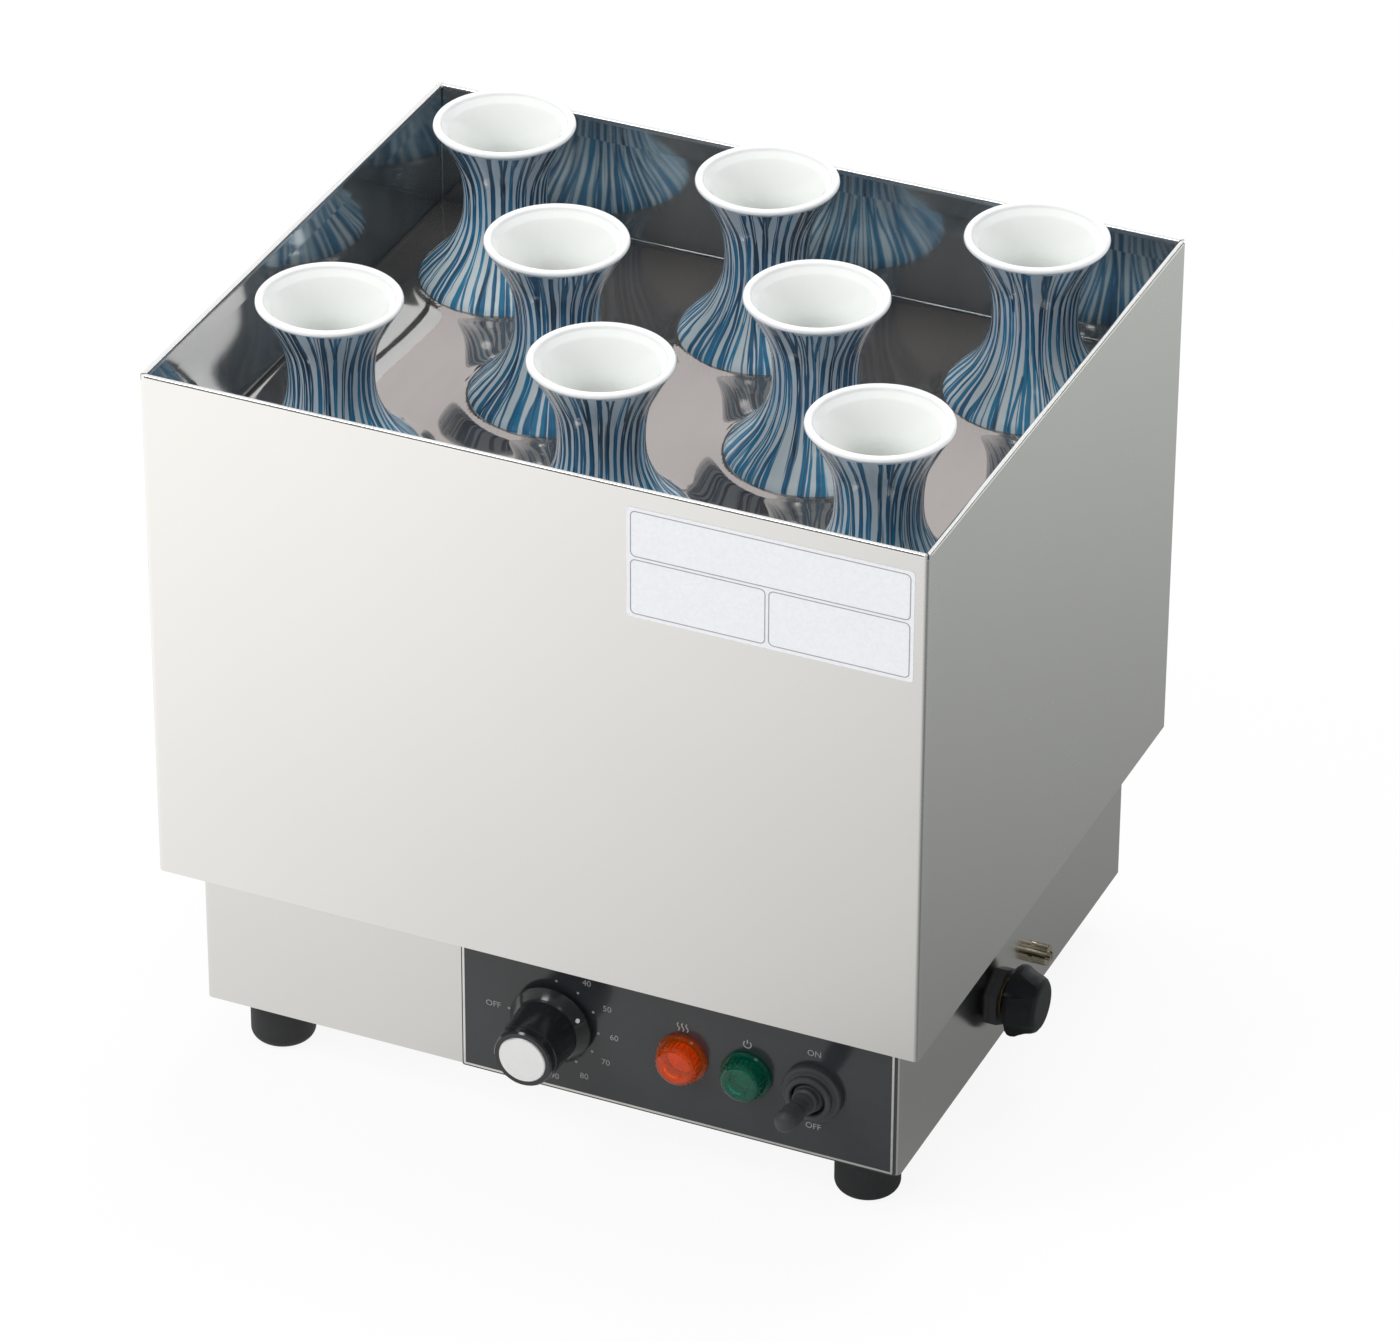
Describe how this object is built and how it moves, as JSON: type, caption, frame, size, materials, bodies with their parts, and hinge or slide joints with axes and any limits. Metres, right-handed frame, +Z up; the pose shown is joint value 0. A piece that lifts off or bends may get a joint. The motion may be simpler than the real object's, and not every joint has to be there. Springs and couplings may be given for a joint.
{
  "type": "sake warmer machine",
  "caption": "Table-top water bath warmer with an open steel tank, flared flasks on a perforated shelf, and a narrower control base on feet.",
  "frame": {"origin": "on the floor under the middle of the whole outline, with the cock handle and the switch lever counted in", "axes": "+Z up; the control panel faces -Y; +X is to the right of someone facing the panel"},
  "size_m": [0.326, 0.2784, 0.328],
  "materials": {
    "stainless": "fine satin sheet, brighter on folded edges",
    "sheath_steel": "dull bent heater sheath",
    "zinc_steel": "bright zinc plated",
    "nickel_plate": "nickel plated, glossy",
    "copper_brass": "machined brass",
    "black_rubber": "matt moulded rubber",
    "black_plastic": "glossy moulded phenolic",
    "dark_plastic": "matt moulded plastic",
    "cream_plastic": "matt moulded plastic",
    "amber_lens": "translucent glossy amber",
    "green_lens": "translucent glossy green",
    "dark_panel": "satin dark grey print on sheet",
    "aluminium_cap": "spun face",
    "white_mark": "filled marker dot",
    "blue_glaze": "white glaze with blue brushed stripes outside"
  },
  "bodies": {
    "warmer": {"tank": "stainless", "shelf": "stainless", "shelf_legs": "stainless", "heater": "sheath_steel", "heater_gaskets": "black_rubber", "heater_nuts": "nickel_plate", "heater_supports": "stainless", "sensing_bulb": "copper_brass", "bulb_clip": "stainless", "capillary_gland": "copper_brass", "base_front": "stainless", "base_back": "stainless", "base_left": "stainless", "base_right": "stainless", "base_floor": "stainless", "floor_screws": "zinc_steel", "tank_studs": "stainless", "tank_nuts": "zinc_steel", "foot_front_left": "black_rubber", "foot_front_right": "black_rubber", "foot_back_left": "black_rubber", "foot_back_right": "black_rubber", "foot_screws": "zinc_steel", "foot_nuts": "zinc_steel", "control_panel": "dark_panel", "thermostat_body": "dark_plastic", "thermostat_screws": "zinc_steel", "heater_lamp_lens": "amber_lens", "heater_lamp_body": "cream_plastic", "power_lamp_lens": "green_lens", "power_lamp_body": "cream_plastic", "lamp_nuts": "zinc_steel", "switch_body": "dark_plastic", "switch_seal": "black_rubber", "drain_pipe": "nickel_plate", "cock_body": "copper_brass", "cock_nut": "dark_plastic", "earth_terminal": "nickel_plate", "cord_bushing": "black_rubber", "terminal_block": "cream_plastic", "terminal_screws": "nickel_plate"},
    "knob": {"thermostat_shaft": "nickel_plate", "knob": "black_plastic", "knob_cap": "aluminium_cap", "knob_marker": "white_mark"},
    "switch_lever": {"switch_lever": "black_rubber"},
    "cock_grip": {"cock_ball": "nickel_plate", "cock_handle": "black_plastic"},
    "flask_back_left": {"flask_back_left": "blue_glaze"},
    "flask_back_middle": {"flask_back_middle": "blue_glaze"},
    "flask_back_right": {"flask_back_right": "blue_glaze"},
    "flask_middle_left": {"flask_middle_left": "blue_glaze"},
    "flask_middle_right": {"flask_middle_right": "blue_glaze"},
    "flask_front_left": {"flask_front_left": "blue_glaze"},
    "flask_front_middle": {"flask_front_middle": "blue_glaze"},
    "flask_front_right": {"flask_front_right": "blue_glaze"}
  },
  "joints": [
    {"name": "knob_turn", "type": "hinge", "parent": "warmer", "child": "knob", "pos_m": [0.0003, -0.10782, 0.0566], "axis": [0, -1, 0], "range_deg": [-119, 148]},
    {"name": "lever_flip", "type": "hinge", "parent": "warmer", "child": "switch_lever", "pos_m": [0.1095, -0.11042, 0.055], "axis": [1, 0, 0], "range_deg": [0, 16]},
    {"name": "cock_turn", "type": "hinge", "parent": "warmer", "child": "cock_grip", "pos_m": [0.12, -0.00532, 0.045], "axis": [1, 0, 0], "range_deg": [0, 90]},
    {"name": "flask_back_left_lift", "type": "slide", "parent": "warmer", "child": "flask_back_left", "axis": [0, 0, 1], "range_m": [0, 0.19]},
    {"name": "flask_back_middle_lift", "type": "slide", "parent": "warmer", "child": "flask_back_middle", "axis": [0, 0, 1], "range_m": [0, 0.19]},
    {"name": "flask_back_right_lift", "type": "slide", "parent": "warmer", "child": "flask_back_right", "axis": [0, 0, 1], "range_m": [0, 0.19]},
    {"name": "flask_middle_left_lift", "type": "slide", "parent": "warmer", "child": "flask_middle_left", "axis": [0, 0, 1], "range_m": [0, 0.19]},
    {"name": "flask_middle_right_lift", "type": "slide", "parent": "warmer", "child": "flask_middle_right", "axis": [0, 0, 1], "range_m": [0, 0.19]},
    {"name": "flask_front_left_lift", "type": "slide", "parent": "warmer", "child": "flask_front_left", "axis": [0, 0, 1], "range_m": [0, 0.19]},
    {"name": "flask_front_middle_lift", "type": "slide", "parent": "warmer", "child": "flask_front_middle", "axis": [0, 0, 1], "range_m": [0, 0.19]},
    {"name": "flask_front_right_lift", "type": "slide", "parent": "warmer", "child": "flask_front_right", "axis": [0, 0, 1], "range_m": [0, 0.19]}
  ]
}
